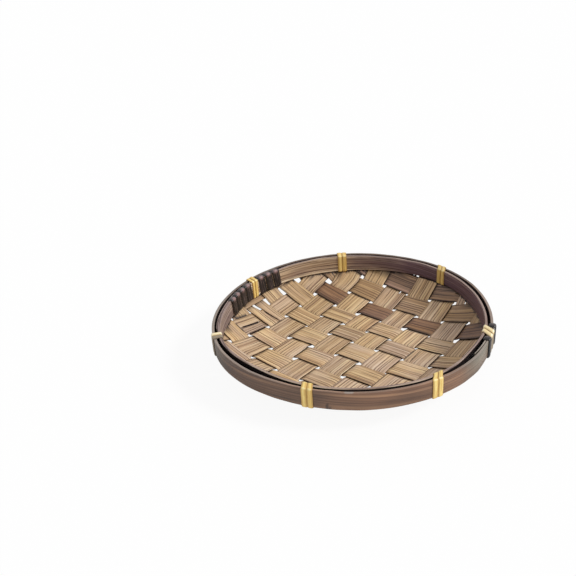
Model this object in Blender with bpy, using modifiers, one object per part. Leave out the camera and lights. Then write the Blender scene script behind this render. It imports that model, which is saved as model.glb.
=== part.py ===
"""A round bamboo tray, modelled the way it is made.

Flat bamboo strips are woven one over, one under, into a shallow bowl. The edge of the bowl is
nipped between two hoops, each bent from one flat strip and closed with a tapered lap. Seven
two-turn ties of pale cane lash the hoops together through the weave, and dark cane binds
the laps. Nothing on the tray moves.

Metres, +Z up. The tray stands on the flat middle of its weave, with the origin at the bottom centre.
"""
import math

import bmesh
import bpy
import numpy as np
from mathutils import Vector

# Rim
RIM_RADIUS = 0.1200
HOOP_HEIGHT = 0.0163
OUTER_HOOP_WALL = 0.0024
INNER_HOOP_WALL = 0.0023
HOOP_EDGE_BEVEL = 0.0005
TIED_GAP = 0.0023
LOOSE_GAP = 0.0024
SEAT_CLEARANCE = 0.0003
OUT_OF_ROUND_SHARES = (
    (2, 0.0152, -0.0040), (3, -0.0070, -0.0040), (4, -0.0018, 0.0039), (5, -0.0016, -0.0010), (6, -0.0018, 0.0))
FLAT_SHARE = 0.0140
FLAT_CENTRE = -28.0
FLAT_HALF_ANGLE = 18.0
HOOP_STATIONS = 96

# Laps that close the hoops
LAP_TIP = 0.0007
LAP_CLEARANCE = 0.0003
LAP_SPRING = 0.0010
OUTER_LAP_CENTRE = -24.0
OUTER_LAP_ANGLE = 24.0
INNER_LAP_CENTRE = 148.0
INNER_LAP_ANGLE = 40.0
LAP_RAMP_ANGLE = 6.0

# Bowl
BOWL_DEPTH = 0.0200
BASE_FLAT_RADIUS = 0.0450
BOWL_CURVE_POWER = 2.9
SLOPE_STEP = 0.0005

# Weave: warp strips run down to the right in plan, weft strips down to the left
STRIP_THICKNESS = 0.00065
WEAVE_LIFT = 0.00050
WEAVE_HOLE = 0.0040
WARP_DIRECTION = -35.2
WEFT_DIRECTION = -127.7
TRIM_SIDES = 96

# Rows of holes between the strips: place from the middle as a share of the rim radius, width as a share of a
# hole. No strip lies between the two outermost rows at either end; they only carry the strips that cross them.
WEAVE_MIDDLE_SHARES = (-0.0125, 0.0640)
WEFT_LINE_SHARES = (
    (-1.2700, 1.00), (-1.0530, 1.00), (-0.8340, 1.85), (-0.6440, 0.85), (-0.4380, 0.85), (-0.2190, 1.00), (0.0, 0.80),
    (0.2120, 1.05), (0.4390, 0.70), (0.6640, 0.80), (0.8730, 0.80), (1.0900, 1.00), (1.3100, 1.00))
WARP_LINE_SHARES = (
    (-1.1060, 1.00), (-0.9140, 0.60), (-0.7450, 0.75), (-0.5560, 0.85), (-0.3660, 1.00), (-0.1800, 0.65), (0.0, 0.85),
    (0.2110, 0.95), (0.4110, 1.00), (0.6110, 0.90), (0.8010, 0.80), (0.9900, 1.00), (1.1830, 1.00))

# Pale ties round both hoops. A tie that leans has its outer run further round the rim than its inner run.
TIE_AZIMUTHS = (-164.3, -108.7, -57.4, -18.2, 42.3, 95.0, 145.4)
TIE_NAMES = ("left", "front_left", "front_right", "right", "back_right", "back", "back_left")
BAY_GAP_SHARES = (1.0, 0.2, 0.9, 0.2, 0.1, 0.1, 0.6)
TIE_TURNS = 2
TIE_STRAND_WIDTH = 0.0040
TIE_STRAND_THICKNESS = 0.0008
TIE_PITCH = 0.0048
TIE_LEAN = 0.0060
TIE_LEAN_SHARES = (0.0, 0.3, -0.9, -1.0, 0.8, 0.0, -0.3)

# Dark bindings round the laps, one on each side of the tie that crosses the lap
BINDING_CLEARANCE = 0.0006
INNER_BINDING_WIDTH = 0.0088
INNER_BINDING_THICKNESS = 0.0008
INNER_BINDING_PITCH = 0.0096
INNER_BINDINGS = (("inner_lap_binding_left", 1, 4), ("inner_lap_binding_right", -1, 3))
OUTER_BINDING_WIDTH = 0.0075
OUTER_BINDING_THICKNESS = 0.0014
OUTER_BINDINGS = (("outer_lap_binding_upper", 1, 1), ("outer_lap_binding_lower", -1, 1))
TAIL_SHARE = 0.8
STRAND_CORNER_STEPS = 3
STRAND_SHIFT_STEPS = 3
STRAND_LANES = 2
GAP_SAMPLES = 8

# Cutters and clean-up
CUTTER_OVERRUN = 0.0100
MERGE_DISTANCE = 0.000001

WARP_COLOURS = ((0.17, 0.12, 0.09), (0.30, 0.20, 0.12), (0.19, 0.11, 0.07), (0.40, 0.27, 0.15), (0.38, 0.25, 0.14))
WEFT_COLOURS = ((0.42, 0.29, 0.17), (0.38, 0.26, 0.15), (0.45, 0.31, 0.19))
OUTER_HOOP_COLOUR = (0.17, 0.10, 0.07)
INNER_HOOP_COLOUR = (0.22, 0.13, 0.10)
TIE_COLOUR = (0.78, 0.56, 0.17)
BINDING_COLOUR = (0.07, 0.045, 0.05)


def empty_scene():
    for ob in list(bpy.data.objects):
        bpy.data.objects.remove(ob, do_unlink=True)
    for group in list(bpy.data.collections):
        bpy.data.collections.remove(group)


def new_collection(name):
    group = bpy.data.collections.new(name)
    bpy.context.scene.collection.children.link(group)
    return group


def add_object(name, mesh, group, colour, roughness):
    """An object in its collection with its own material."""
    material = bpy.data.materials.new(name)
    material.use_nodes = True
    shader = material.node_tree.nodes["Principled BSDF"]
    shader.inputs["Base Color"].default_value = (*colour, 1.0)
    shader.inputs["Roughness"].default_value = roughness
    shader.inputs["Metallic"].default_value = 0.0
    ob = bpy.data.objects.new(name, mesh)
    ob.data.materials.append(material)
    group.objects.link(ob)
    return ob


def polar(radius, azimuth, height):
    return Vector((radius * math.cos(azimuth), radius * math.sin(azimuth), height))


# Heights that the pieces share
BASE_MIDDLE = WEAVE_LIFT + STRIP_THICKNESS / 2
HOOP_BOTTOM = BASE_MIDDLE + BOWL_DEPTH
HOOP_TOP = HOOP_BOTTOM + HOOP_HEIGHT


# Outline of the rim
def out_of_round(azimuth):
    """How far a hand-bent hoop is from a true circle, as a factor on its radius."""
    factor = 1.0
    for lobes, cosine_share, sine_share in OUT_OF_ROUND_SHARES:
        factor += cosine_share * math.cos(lobes * azimuth) + sine_share * math.sin(lobes * azimuth)
    from_flat = (math.degrees(azimuth) - FLAT_CENTRE + 180.0) % 360.0 - 180.0
    if abs(from_flat) < FLAT_HALF_ANGLE:
        factor -= FLAT_SHARE * math.cos(math.pi / 2 * from_flat / FLAT_HALF_ANGLE) ** 2
    return factor


def hoop_gap(azimuth):
    """Gap between the hoops: closed up at each tie, and open in the bays between the ties."""
    turn = math.degrees(azimuth)
    for i, start in enumerate(TIE_AZIMUTHS):
        end = TIE_AZIMUTHS[(i + 1) % len(TIE_AZIMUTHS)]
        bay = (end - start) % 360.0
        along = (turn - start) % 360.0
        if along < bay:
            return TIED_GAP + LOOSE_GAP * BAY_GAP_SHARES[i] * math.sin(math.pi * along / bay) ** 2
    return TIED_GAP


def outer_hoop_seat(azimuth):
    """Radius of the outer hoop's inner face."""
    return RIM_RADIUS * out_of_round(azimuth) - OUTER_HOOP_WALL


def inner_hoop_seat(azimuth):
    """Radius of the inner hoop's outer face."""
    return outer_hoop_seat(azimuth) - hoop_gap(azimuth)


def lap_rise(azimuth, centre, lap_angle):
    """Extra thickness where a hoop's two tapered ends lie over each other, as a share of the full step."""
    offset = (math.degrees(azimuth) - centre + 180.0) % 360.0 - 180.0
    past = abs(offset) - lap_angle / 2
    if past <= 0.0:
        return 1.0
    return max(0.0, 1.0 - past / LAP_RAMP_ANGLE)


def outer_hoop_faces(azimuth):
    low = outer_hoop_seat(azimuth)
    step = (LAP_TIP + LAP_CLEARANCE) * lap_rise(azimuth, OUTER_LAP_CENTRE, OUTER_LAP_ANGLE)
    return low, low + OUTER_HOOP_WALL + step


def inner_hoop_faces(azimuth):
    high = inner_hoop_seat(azimuth)
    step = (LAP_TIP + LAP_CLEARANCE) * lap_rise(azimuth, INNER_LAP_CENTRE, INNER_LAP_ANGLE)
    return high - INNER_HOOP_WALL - step, high


def rim_faces(azimuth):
    return inner_hoop_faces(azimuth)[0], outer_hoop_faces(azimuth)[1]


def lap_tip_lift(travelled, lap_angle, spring):
    """How far a lap's thin end stands off its seat, at an angle travelled from its tip."""
    if travelled < 0.0:
        return 0.0
    return spring * max(0.0, 1.0 - 2 * travelled / lap_angle) ** 2


def build_hoop(name, group, seat, side, wall, lap_centre, lap_angle, spring, colour):
    """A flat strip bent into a ring on its seat face, with its ends tapered and lapped.

    side is +1 where the wall grows outwards from the seat and -1 where it grows inwards. spring is how far the
    thin end on the seat face stands off from the layer that covers it.
    """
    lap = math.radians(lap_angle)
    start = math.radians(lap_centre) - lap / 2
    total = 2 * math.pi + lap
    count = round(HOOP_STATIONS * total / (2 * math.pi))
    ramp = math.radians(LAP_RAMP_ANGLE)
    mesh = bpy.data.meshes.new(name)
    bm = bmesh.new()
    bmesh.ops.create_grid(bm, x_segments=count, y_segments=1, size=1.0)
    layer = bm.verts.layers.deform.verify()
    for vert in bm.verts:
        station = round((vert.co.x + 1.0) / 2.0 * count)
        travelled = total * station / count
        azimuth = start + travelled
        thickness = wall
        inset = 0.0
        if travelled < lap:
            thickness = LAP_TIP + (wall - LAP_TIP) * travelled / lap
            inset = -lap_tip_lift(travelled, lap, spring)
        left = total - travelled
        if left < lap:
            under = LAP_TIP + (wall - LAP_TIP) * (lap - left) / lap
            thickness = wall - (wall - LAP_TIP) * (lap - left) / lap
            inset = under + LAP_CLEARANCE
        elif left < lap + ramp:
            inset = (LAP_TIP + LAP_CLEARANCE) * (1.0 - (left - lap) / ramp)
        radius = seat(azimuth) + side * (inset + thickness / 2)
        height = HOOP_BOTTOM if vert.co.y < 0 else HOOP_TOP
        vert.co = polar(radius, azimuth, height)
        vert[layer][0] = thickness / wall
    bm.to_mesh(mesh)
    bm.free()
    ob = add_object(name, mesh, group, colour, 0.6)
    ob.vertex_groups.new(name="wall_share")
    solid = ob.modifiers.new("wall", "SOLIDIFY")
    solid.thickness = wall
    solid.offset = 0.0
    solid.vertex_group = "wall_share"
    bevel = ob.modifiers.new("edges", "BEVEL")
    bevel.width = min(HOOP_EDGE_BEVEL, LAP_TIP / 3)
    bevel.segments = 1
    bevel.limit_method = "ANGLE"
    bevel.angle_limit = math.radians(60.0)
    return ob


# Bowl of the weave
def bowl_rise():
    """Height of the weave's middle where it meets the inner hoop, over the middle of the base."""
    reach = RIM_RADIUS - OUTER_HOOP_WALL - TIED_GAP - BASE_FLAT_RADIUS
    slope = BOWL_DEPTH * BOWL_CURVE_POWER / reach
    half_weave = (WEAVE_LIFT + STRIP_THICKNESS / 2) * math.hypot(1.0, slope)
    return BOWL_DEPTH - half_weave - SEAT_CLEARANCE


BOWL_RISE = bowl_rise()


def bowl_height(x, y):
    """Height of the weave's middle surface: flat base, then a curve up to the hoops, then straight on."""
    edge = inner_hoop_seat(math.atan2(y, x))
    along = (math.hypot(x, y) - BASE_FLAT_RADIUS) / (edge - BASE_FLAT_RADIUS)
    if along <= 0.0:
        return BASE_MIDDLE
    if along <= 1.0:
        return BASE_MIDDLE + BOWL_RISE * along ** BOWL_CURVE_POWER
    return BASE_MIDDLE + BOWL_RISE * (1.0 + BOWL_CURVE_POWER * (along - 1.0))


def bowl_point(x, y, lift):
    """A point at a lift off the bowl's middle surface, square to it."""
    slope_x = (bowl_height(x + SLOPE_STEP, y) - bowl_height(x - SLOPE_STEP, y)) / (2 * SLOPE_STEP)
    slope_y = (bowl_height(x, y + SLOPE_STEP) - bowl_height(x, y - SLOPE_STEP)) / (2 * SLOPE_STEP)
    normal = Vector((-slope_x, -slope_y, 1.0)).normalized()
    return Vector((x, y, bowl_height(x, y))) + normal * lift


# Weave
ALONG_WARP = Vector((math.cos(math.radians(WARP_DIRECTION)), math.sin(math.radians(WARP_DIRECTION))))
ALONG_WEFT = Vector((math.cos(math.radians(WEFT_DIRECTION)), math.sin(math.radians(WEFT_DIRECTION))))


def line_places(shares):
    """Distance of each row of holes along a strip, with half the width of its holes."""
    return [(place * RIM_RADIUS, hole * WEAVE_HOLE / 2) for place, hole in shares]


WEFT_LINES = line_places(WEFT_LINE_SHARES)
WARP_LINES = line_places(WARP_LINE_SHARES)


def strip_stations(lines, i):
    """Both edges and the middle of the strip between one row of holes and the next."""
    low = lines[i][0] + lines[i][1]
    high = lines[i + 1][0] - lines[i + 1][1]
    return [low, (low + high) / 2, high]


def plan_point(u, v):
    return Vector(WEAVE_MIDDLE_SHARES) * RIM_RADIUS + ALONG_WARP * u + ALONG_WEFT * v


def inside_rim(point):
    return point.length < outer_hoop_seat(math.atan2(point.y, point.x))


def strip_mesh(name, u_places, v_places, lift_at):
    """One strip's middle surface: a grid on the weave's lattice, laid on the bowl.

    Every strip cuts its squares along the same diagonal, so a strip and the one it crosses have like facets.
    """
    bm = bmesh.new()
    u_count, v_count = len(u_places) - 1, len(v_places) - 1
    bmesh.ops.create_grid(bm, x_segments=u_count, y_segments=v_count, size=1.0)
    for vert in bm.verts:
        i = round((vert.co.x + 1.0) / 2.0 * u_count)
        j = round((vert.co.y + 1.0) / 2.0 * v_count)
        place = plan_point(u_places[i], v_places[j])
        vert.co = bowl_point(place.x, place.y, lift_at(i, j))
    bmesh.ops.triangulate(bm, faces=bm.faces[:], quad_method="FIXED")
    bmesh.ops.recalc_face_normals(bm, faces=bm.faces[:])
    mesh = bpy.data.meshes.new(name)
    bm.to_mesh(mesh)
    bm.free()
    return mesh


def rows_in_rim(lines, point_at):
    """The first and last squares on a strip's way, one past the rim at each end."""
    inside = []
    for i in range(len(lines) - 1):
        places = strip_stations(lines, i)
        if any(inside_rim(point_at(place, side)) for place in places for side in range(3)):
            inside.append(i)
    return max(inside[0] - 1, 0), min(inside[-1] + 1, len(lines) - 2)


def build_warp_strip(j, group, cutters, colour):
    v_places = strip_stations(WARP_LINES, j)
    first, last = rows_in_rim(WEFT_LINES, lambda u, side: plan_point(u, v_places[side]))
    u_places, lifts = [], []
    for i in range(first, last + 1):
        over = 1.0 if (i + j) % 2 == 0 else -1.0
        u_places += strip_stations(WEFT_LINES, i)
        lifts += [over * WEAVE_LIFT] * 3
    name = f"warp_strip_{j:02d}"
    mesh = strip_mesh(name, u_places, v_places, lambda i, j: lifts[i])
    return finish_strip(name, mesh, group, cutters, colour)


def build_weft_strip(i, group, cutters, colour):
    u_places = strip_stations(WEFT_LINES, i)
    first, last = rows_in_rim(WARP_LINES, lambda v, side: plan_point(u_places[side], v))
    v_places, lifts = [], []
    for j in range(first, last + 1):
        over = -1.0 if (i + j) % 2 == 0 else 1.0
        v_places += strip_stations(WARP_LINES, j)
        lifts += [over * WEAVE_LIFT] * 3
    name = f"weft_strip_{i:02d}"
    mesh = strip_mesh(name, u_places, v_places, lambda i, j: lifts[j])
    return finish_strip(name, mesh, group, cutters, colour)


def finish_strip(name, mesh, group, cutters, colour):
    """Thicken a strip, trim it inside the outer hoop, and nick it where the ties and bindings pass."""
    ob = add_object(name, mesh, group, colour, 0.62)
    solid = ob.modifiers.new("thickness", "SOLIDIFY")
    solid.thickness = STRIP_THICKNESS
    solid.offset = 0.0
    solid.use_even_offset = True
    solid.use_quality_normals = True
    for cutter, operation in cutters:
        cut = ob.modifiers.new(cutter.name, "BOOLEAN")
        cut.operation = operation
        cut.solver = "EXACT"
        cut.use_self = True
        cut.object = cutter
    keep_main_body(ob)
    return ob


def keep_main_body(ob):
    """Apply the modifiers and drop any corner that a nick has cut loose."""
    bpy.context.view_layer.update()
    evaluated = ob.evaluated_get(bpy.context.evaluated_depsgraph_get())
    mesh = bpy.data.meshes.new_from_object(evaluated)
    ob.modifiers.clear()
    bm = bmesh.new()
    bm.from_mesh(mesh)
    bmesh.ops.remove_doubles(bm, verts=bm.verts[:], dist=MERGE_DISTANCE)
    bmesh.ops.dissolve_degenerate(bm, edges=bm.edges[:], dist=MERGE_DISTANCE)
    waiting = set(bm.faces)
    bodies = []
    while waiting:
        edge_faces = [waiting.pop()]
        body = set(edge_faces)
        while edge_faces:
            face = edge_faces.pop()
            for edge in face.edges:
                for other in edge.link_faces:
                    if other not in body:
                        body.add(other)
                        edge_faces.append(other)
        waiting -= body
        bodies.append(body)
    largest = max(bodies, key=lambda body: sum(face.calc_area() for face in body))
    loose = [face for face in bm.faces if face not in largest]
    bmesh.ops.delete(bm, geom=loose, context="FACES")
    bm.to_mesh(mesh)
    bm.free()
    ob.data = mesh


# Cutters for the weave's edge
def hide_cutter(ob):
    ob.hide_render = True
    ob.display_type = "WIRE"
    return ob


def build_trim(group):
    """An oval prism just inside the outer hoop and its thin lapped end: what lies in it stays."""
    lap_start = OUTER_LAP_CENTRE - OUTER_LAP_ANGLE / 2
    side_angle = 360.0 / TRIM_SIDES
    bm = bmesh.new()
    bmesh.ops.create_cone(bm, cap_ends=True, segments=TRIM_SIDES, radius1=1.0, radius2=1.0, depth=2.0)
    for vert in bm.verts:
        azimuth = math.atan2(vert.co.y, vert.co.x)
        height = -CUTTER_OVERRUN if vert.co.z < 0 else HOOP_TOP + CUTTER_OVERRUN
        past_tip = (math.degrees(azimuth) - lap_start + 180.0) % 360.0 - 180.0
        stand_off = SEAT_CLEARANCE
        for turn in (-side_angle, 0.0, side_angle):
            lift = lap_tip_lift(past_tip + turn, OUTER_LAP_ANGLE, LAP_SPRING)
            stand_off = max(stand_off, SEAT_CLEARANCE + lift)
        vert.co = polar(outer_hoop_seat(azimuth) - stand_off, azimuth, height)
    mesh = bpy.data.meshes.new("trim_cutter")
    bm.to_mesh(mesh)
    bm.free()
    ob = bpy.data.objects.new("trim_cutter", mesh)
    group.objects.link(ob)
    return hide_cutter(ob)


def weave_slope():
    return BOWL_RISE * BOWL_CURVE_POWER / (RIM_RADIUS - OUTER_HOOP_WALL - TIED_GAP - BASE_FLAT_RADIUS)


def half_width(turns, pitch, width):
    return (pitch * (turns - 1) + width) / 2


def binding_places(bindings, tie, hoop_side, pitch, width):
    """Each binding's name, middle and turns. It comes up to its tie where that crosses the same hoop."""
    number = TIE_NAMES.index(tie)
    lean = hoop_side * TIE_LEAN * TIE_LEAN_SHARES[number] / 2
    places = []
    for name, side, turns in bindings:
        away = half_width(TIE_TURNS, TIE_PITCH, TIE_STRAND_WIDTH) + BINDING_CLEARANCE
        away += half_width(turns, pitch, width) + max(0.0, side * lean)
        azimuth = math.radians(TIE_AZIMUTHS[number]) + side * away / RIM_RADIUS
        places.append((name, azimuth, turns))
    return places


INNER_PLACES = binding_places(INNER_BINDINGS, "back_left", -1, INNER_BINDING_PITCH, INNER_BINDING_WIDTH)
OUTER_PLACES = binding_places(OUTER_BINDINGS, "right", 1, OUTER_BINDING_WIDTH, OUTER_BINDING_WIDTH)


def build_notches(group):
    """One box for each place where cane passes under a hoop, so that the weave stops short of it."""
    cuts = []
    for degrees, lean_share in zip(TIE_AZIMUTHS, TIE_LEAN_SHARES):
        azimuth = math.radians(degrees)
        reach = (2 * SEAT_CLEARANCE + TIE_STRAND_THICKNESS) / weave_slope()
        half = half_width(TIE_TURNS, TIE_PITCH, TIE_STRAND_WIDTH) + abs(TIE_LEAN * lean_share) / 2
        cuts.append((azimuth, inner_hoop_seat(azimuth) - reach, half + SEAT_CLEARANCE))
    for _, azimuth, turns in INNER_PLACES:
        reach = (2 * SEAT_CLEARANCE + INNER_BINDING_THICKNESS) / weave_slope()
        half = half_width(turns + 1, INNER_BINDING_PITCH, INNER_BINDING_WIDTH)
        sagitta = half ** 2 / (2 * RIM_RADIUS)
        cuts.append((azimuth, inner_hoop_seat(azimuth) - reach - sagitta, half))
    for _, azimuth, turns in OUTER_PLACES:
        reach = 2 * SEAT_CLEARANCE + OUTER_BINDING_THICKNESS
        half = half_width(turns, OUTER_BINDING_WIDTH, OUTER_BINDING_WIDTH) + SEAT_CLEARANCE
        sagitta = half ** 2 / (2 * RIM_RADIUS)
        cuts.append((azimuth, outer_hoop_seat(azimuth) - reach - sagitta, half))
    bm = bmesh.new()
    for azimuth, inner, half in cuts:
        made = bmesh.ops.create_cube(bm, size=1.0)["verts"]
        for vert in made:
            radial = inner if vert.co.x < 0 else outer_hoop_seat(azimuth) + CUTTER_OVERRUN
            side = -half if vert.co.y < 0 else half
            height = HOOP_BOTTOM - CUTTER_OVERRUN if vert.co.z < 0 else HOOP_TOP
            vert.co = polar(radial, azimuth, height) + polar(side, azimuth + math.pi / 2, 0.0)
    mesh = bpy.data.meshes.new("notch_cutter")
    bm.to_mesh(mesh)
    bm.free()
    ob = bpy.data.objects.new("notch_cutter", mesh)
    group.objects.link(ob)
    return hide_cutter(ob)


# Cane wound round the hoops
def corner(anchor, inset, height, radius, first_angle):
    """Points of a quarter turn, as (face it hangs on, distance from that face, height)."""
    points = []
    for k in range(STRAND_CORNER_STEPS + 1):
        angle = math.radians(first_angle) + math.pi / 2 * k / STRAND_CORNER_STEPS
        points.append((anchor, inset + radius * math.cos(angle), height + radius * math.sin(angle)))
    return points


def one_turn(thickness, shift_side):
    """Section of one turn round the hoops, ending with the side where the strand steps to its next turn.

    Anchor 0 is the innermost face and anchor 1 the outermost. Each quarter turn starts a side.
    """
    stand_off = SEAT_CLEARANCE + thickness / 2
    radius = stand_off + HOOP_EDGE_BEVEL
    low = HOOP_BOTTOM - stand_off + radius
    high = HOOP_TOP + stand_off - radius
    quarters = {
        "top": corner(1, stand_off - radius, high, radius, 0.0),
        "inner": corner(0, radius - stand_off, high, radius, 90.0),
        "bottom": corner(0, radius - stand_off, low, radius, 180.0),
        "outer": corner(1, stand_off - radius, low, radius, 270.0),
    }
    order = ["top", "inner", "bottom", "outer"]
    while order[-1] != shift_side:
        order.append(order.pop(0))
    points = []
    for side in order:
        points += quarters[side]
    return points


def build_winding(name, group, faces, centre, turns, width, thickness, pitch, shift_side, lean, colour):
    """One unbroken flat strand wound round a hoop or both, stepping sideways once a turn.

    A strand of one turn ends with a tail laid most of the way along its last side.
    """
    section = one_turn(thickness, shift_side)
    path = []
    for turn in range(turns):
        side = (turn - (turns - 1) / 2) * pitch
        made = [np.array((anchor, offset, height, side + lean * (anchor - 0.5))) for anchor, offset, height in section]
        if path:
            step = (made[0] - path[-1]) / (STRAND_SHIFT_STEPS + 1)
            path += [path[-1] + step * k for k in range(1, STRAND_SHIFT_STEPS + 1)]
        path += made
    if turns == 1:
        path.append(path[-1] + (path[0] - path[-1]) * TAIL_SHARE)
    count = len(path) - 1
    bm = bmesh.new()
    bmesh.ops.create_grid(bm, x_segments=count, y_segments=STRAND_LANES, size=1.0)
    rows = np.zeros((count + 1, STRAND_LANES + 1, 3))
    for vert in bm.verts:
        station = round((vert.co.x + 1.0) / 2.0 * count)
        lane = round((vert.co.y + 1.0) / 2.0 * STRAND_LANES)
        anchor, offset, height, side = path[station]
        azimuth = centre + (side + (lane / STRAND_LANES - 0.5) * width) / RIM_RADIUS
        inner, outer = faces(azimuth)
        vert.co = polar(inner + (outer - inner) * anchor + offset, azimuth, height)
        rows[station, lane] = vert.co
    mesh = bpy.data.meshes.new(name)
    bm.to_mesh(mesh)
    bm.free()
    ob = add_object(name, mesh, group, colour, 0.55)
    solid = ob.modifiers.new("thickness", "SOLIDIFY")
    solid.thickness = thickness
    solid.offset = 0.0
    solid.use_even_offset = True
    print(name, "turns", turns, "least gap to itself", round(least_gap(rows, len(section)) * 1000, 3), "mm")
    return ob


def least_gap(rows, points_in_turn):
    """Least distance between the strand on one turn and on any other turn."""
    fine = []
    for a, b in zip(rows[:-1], rows[1:]):
        for k in range(GAP_SAMPLES):
            fine.append(a + (b - a) * k / GAP_SAMPLES)
    fine = np.array(fine)
    apart = points_in_turn * GAP_SAMPLES // 2
    least = math.inf
    for i in range(len(fine) - apart):
        others = fine[i + apart:].reshape(-1, 3)
        for edge in fine[i]:
            least = min(least, float(np.linalg.norm(others - edge, axis=1).min()))
    return least


def centre_on_origin(parts):
    """Move the tray so that its box stands centred on the origin."""
    bpy.context.view_layer.update()
    depsgraph = bpy.context.evaluated_depsgraph_get()
    corners = [Vector(corner) for ob in parts for corner in ob.evaluated_get(depsgraph).bound_box]
    low = [min(corner[axis] for corner in corners) for axis in range(3)]
    high = [max(corner[axis] for corner in corners) for axis in range(3)]
    shift = Vector((-(low[0] + high[0]) / 2, -(low[1] + high[1]) / 2, -low[2]))
    for ob in parts:
        ob.location = shift
    print("centre of the rim at", [round(value * 1000, 3) for value in shift], "mm")


def main():
    empty_scene()
    tray = new_collection("bamboo_tray")
    tools = new_collection("cutters")
    cutters = [(build_trim(tools), "INTERSECT"), (build_notches(tools), "DIFFERENCE")]
    parts = []

    for j in range(1, len(WARP_LINES) - 2):
        colour = WARP_COLOURS[min(j, len(WARP_COLOURS)) - 1]
        parts.append(build_warp_strip(j, tray, cutters, colour))
    for i in range(1, len(WEFT_LINES) - 2):
        colour = WEFT_COLOURS[i % len(WEFT_COLOURS)]
        parts.append(build_weft_strip(i, tray, cutters, colour))

    parts.append(build_hoop("outer_hoop", tray, outer_hoop_seat, 1.0, OUTER_HOOP_WALL,
                            OUTER_LAP_CENTRE, OUTER_LAP_ANGLE, LAP_SPRING, OUTER_HOOP_COLOUR))
    parts.append(build_hoop("inner_hoop", tray, inner_hoop_seat, -1.0, INNER_HOOP_WALL,
                            INNER_LAP_CENTRE, INNER_LAP_ANGLE, 0.0, INNER_HOOP_COLOUR))
    for place, degrees, lean_share in zip(TIE_NAMES, TIE_AZIMUTHS, TIE_LEAN_SHARES):
        parts.append(build_winding(f"tie_{place}", tray, rim_faces, math.radians(degrees), TIE_TURNS,
                                   TIE_STRAND_WIDTH, TIE_STRAND_THICKNESS, TIE_PITCH, "bottom",
                                   TIE_LEAN * lean_share, TIE_COLOUR))
    for name, azimuth, turns in INNER_PLACES:
        parts.append(build_winding(name, tray, inner_hoop_faces, azimuth, turns, INNER_BINDING_WIDTH,
                                   INNER_BINDING_THICKNESS, INNER_BINDING_PITCH, "outer", 0.0, BINDING_COLOUR))
    for name, azimuth, turns in OUTER_PLACES:
        parts.append(build_winding(name, tray, outer_hoop_faces, azimuth, turns, OUTER_BINDING_WIDTH,
                                   OUTER_BINDING_THICKNESS, OUTER_BINDING_WIDTH, "inner", 0.0, BINDING_COLOUR))

    for ob in parts:
        ob.data.shade_smooth()
        ob.data.set_sharp_from_angle(angle=math.radians(30.0))
    centre_on_origin(parts)


main()
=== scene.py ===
from math import atan2, cos, degrees, hypot, pi, radians, sin, sqrt

import bmesh
import bpy
from mathutils import Matrix, Vector, noise


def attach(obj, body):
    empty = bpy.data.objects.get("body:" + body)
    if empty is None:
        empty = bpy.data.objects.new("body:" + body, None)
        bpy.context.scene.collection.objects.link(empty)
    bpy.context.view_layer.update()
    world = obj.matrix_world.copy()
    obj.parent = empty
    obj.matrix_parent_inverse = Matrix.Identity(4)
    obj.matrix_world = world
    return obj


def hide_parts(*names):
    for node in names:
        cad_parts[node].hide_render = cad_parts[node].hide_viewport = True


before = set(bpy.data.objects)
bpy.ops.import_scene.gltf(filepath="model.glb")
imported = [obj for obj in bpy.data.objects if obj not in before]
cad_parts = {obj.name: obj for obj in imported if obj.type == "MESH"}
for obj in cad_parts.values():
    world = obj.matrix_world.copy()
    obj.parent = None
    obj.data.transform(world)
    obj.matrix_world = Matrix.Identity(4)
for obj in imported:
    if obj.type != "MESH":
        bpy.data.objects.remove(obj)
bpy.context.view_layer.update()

# The woven base
# Twenty flat strips of split bamboo, ten each way, woven one over, one under and pressed into a shallow bowl.
# They are split by hand, so their edges wander, grooves run along them, and a few have cracked open.
# First the rim that they are pressed into: how far each number of lobes puts it out of round, and its flat.
RIM_CENTRE = Vector((0.000839, -0.000826, 0.0))
RIM_RADIUS = 0.12
OUTER_HOOP_WALL = 0.0024
OUT_OF_ROUND_SHARES = (
    (2, 0.0152, -0.004), (3, -0.007, -0.004), (4, -0.0018, 0.0039), (5, -0.0016, -0.001), (6, -0.0018, 0.0))
FLAT_SHARE, FLAT_CENTRE, FLAT_HALF_ANGLE = 0.014, -28.0, 18.0


def angle_from(bearing, centre):
    """How far round the rim a place lies from another, between -180 and 180 degrees."""
    return (bearing - centre + 180.0) % 360.0 - 180.0


def fade_out(away, reach):
    """1 at a place, falling smoothly to 0 at its reach and beyond."""
    return 0.5 + 0.5 * cos(pi * min(away, reach) / reach)


def out_of_round(azimuth):
    factor = 1.0
    for lobes, cosine_share, sine_share in OUT_OF_ROUND_SHARES:
        factor += cosine_share * cos(lobes * azimuth) + sine_share * sin(lobes * azimuth)
    from_flat = angle_from(degrees(azimuth), FLAT_CENTRE)
    if abs(from_flat) < FLAT_HALF_ANGLE:
        factor -= FLAT_SHARE * cos(pi / 2 * from_flat / FLAT_HALF_ANGLE) ** 2
    return factor


# The ties nip the two hoops together, and between them each bay opens by its own share.
TIE_AZIMUTHS = (-164.3, -108.7, -57.4, -18.2, 42.3, 95.0, 145.4)
BAY_GAP_SHARES = (1.0, 0.2, 0.9, 0.2, 0.1, 0.1, 0.6)
TIED_GAP = 0.0023
LOOSE_GAP = 0.0024


def hoop_gap(azimuth):
    for i, start in enumerate(TIE_AZIMUTHS):
        bay = (TIE_AZIMUTHS[(i + 1) % len(TIE_AZIMUTHS)] - start) % 360.0
        along = (degrees(azimuth) - start) % 360.0
        if along < bay:
            return TIED_GAP + LOOSE_GAP * BAY_GAP_SHARES[i] * sin(pi * along / bay) ** 2
    return TIED_GAP


def outer_hoop_seat(azimuth):
    return RIM_RADIUS * out_of_round(azimuth) - OUTER_HOOP_WALL


def inner_hoop_seat(azimuth):
    return outer_hoop_seat(azimuth) - hoop_gap(azimuth)


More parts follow.
